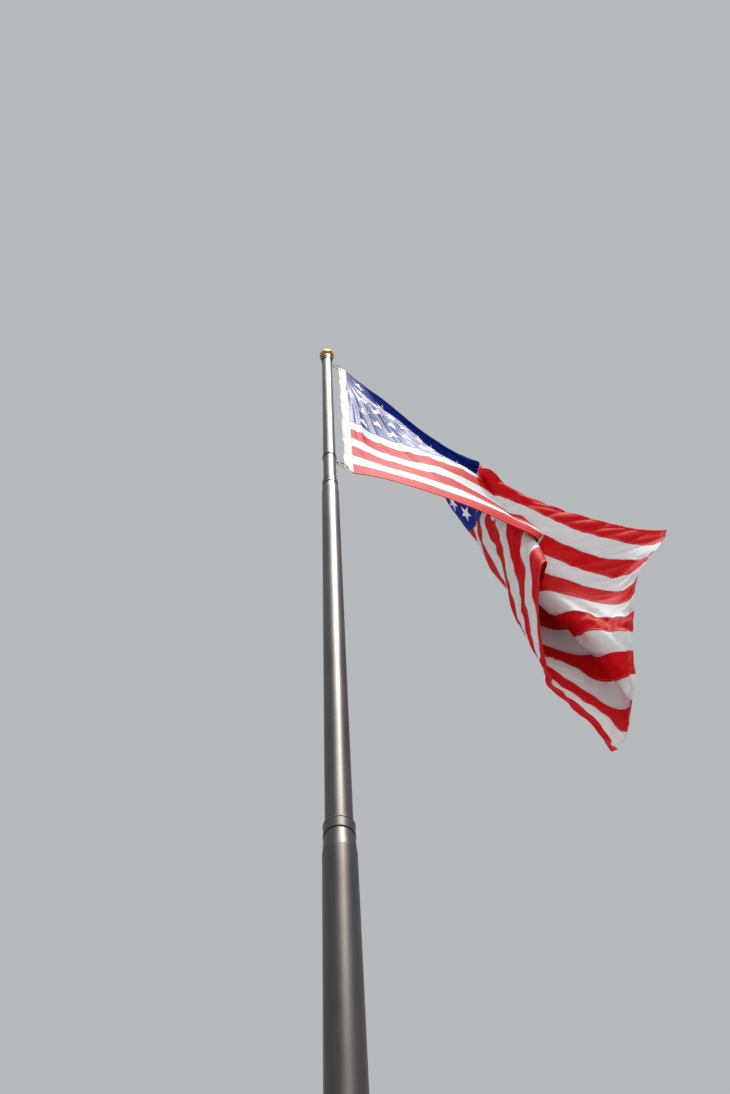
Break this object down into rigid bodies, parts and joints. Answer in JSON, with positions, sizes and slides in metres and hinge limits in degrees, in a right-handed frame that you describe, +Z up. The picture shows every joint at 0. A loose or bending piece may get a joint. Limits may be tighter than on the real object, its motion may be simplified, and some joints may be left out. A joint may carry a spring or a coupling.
{
  "type": "telescoping flagpole with flag",
  "caption": "Dark bronze telescoping flagpole with a gold ball and a sewn flag flying from swivel rings on its top tube",
  "frame": {"origin": "on the ground at the centre of the pole's foot", "axes": "+Z up along the pole, +X to the viewer's right, +Y away from the viewer"},
  "size_m": [1.5845, 0.9564, 7.6171],
  "materials": {
    "dark_bronze": "dark bronze anodised, satin, with a soft pale highlight",
    "bushing_nylon": "black moulded nylon",
    "bright_steel": "bright stainless steel",
    "gold_anodised": "gold anodised spun aluminium",
    "black_ring": "black coated steel",
    "grommet_brass": "plain brass",
    "header_canvas": "white canvas, doubled and stitched",
    "blue_cloth": "blue nylon with sewn white stars",
    "red_cloth": "red nylon",
    "white_cloth": "white nylon"
  },
  "bodies": {
    "base": {"base_plug": "dark_bronze", "ground_rim": "dark_bronze", "base_section": "dark_bronze", "base_neck_band": "dark_bronze"},
    "third": {"third_bushing": "bushing_nylon", "third_section": "dark_bronze", "third_neck_band": "dark_bronze"},
    "second": {"second_bushing": "bushing_nylon", "second_section": "dark_bronze", "second_neck_band": "dark_bronze"},
    "top": {"top_bushing": "bushing_nylon", "top_section": "dark_bronze", "top_cap": "dark_bronze", "ball_spindle": "bright_steel", "ball_finial": "gold_anodised"},
    "upper_swivel": {"upper_swivel_ring": "black_ring", "upper_snap_hook": "bright_steel", "upper_grommet": "grommet_brass", "flag_header": "header_canvas", "flag_union": "blue_cloth", "flag_stripe_01": "red_cloth", "flag_stripe_02": "white_cloth", "flag_stripe_03": "red_cloth", "flag_stripe_04": "white_cloth", "flag_stripe_05": "red_cloth", "flag_stripe_06": "white_cloth", "flag_stripe_07": "red_cloth", "flag_stripe_08": "white_cloth", "flag_stripe_09": "red_cloth", "flag_stripe_10": "white_cloth", "flag_stripe_11": "red_cloth", "flag_stripe_12": "white_cloth", "flag_stripe_13": "red_cloth"},
    "lower_swivel": {"lower_swivel_ring": "black_ring", "lower_snap_hook": "bright_steel", "lower_grommet": "grommet_brass"}
  },
  "joints": [
    {"name": "third_slide", "type": "slide", "parent": "base", "child": "third", "axis": [0, 0, 1], "range_m": [-1.33, 0]},
    {"name": "second_slide", "type": "slide", "parent": "third", "child": "second", "axis": [0, 0, 1], "range_m": [-2.05, 0]},
    {"name": "top_slide", "type": "slide", "parent": "second", "child": "top", "axis": [0, 0, 1], "range_m": [-1.64, 0]},
    {"name": "flag_swivel", "type": "hinge", "parent": "top", "child": "upper_swivel", "pos_m": [0, 0, 7.47], "axis": [0, 0, 1], "continuous": true},
    {"name": "flag_gather", "type": "slide", "parent": "upper_swivel", "child": "lower_swivel", "axis": [0, 0, 1], "range_m": [0, 1.394], "deforming": ["flag_header", "flag_union", "flag_stripe_01", "flag_stripe_02", "flag_stripe_03", "flag_stripe_04", "flag_stripe_05", "flag_stripe_06", "flag_stripe_07", "flag_stripe_08", "flag_stripe_09", "flag_stripe_10", "flag_stripe_11", "flag_stripe_12", "flag_stripe_13"]}
  ],
  "couplings": [
    {"joint": "flag_gather", "follows": "top_slide", "ratio": -0.85}
  ]
}
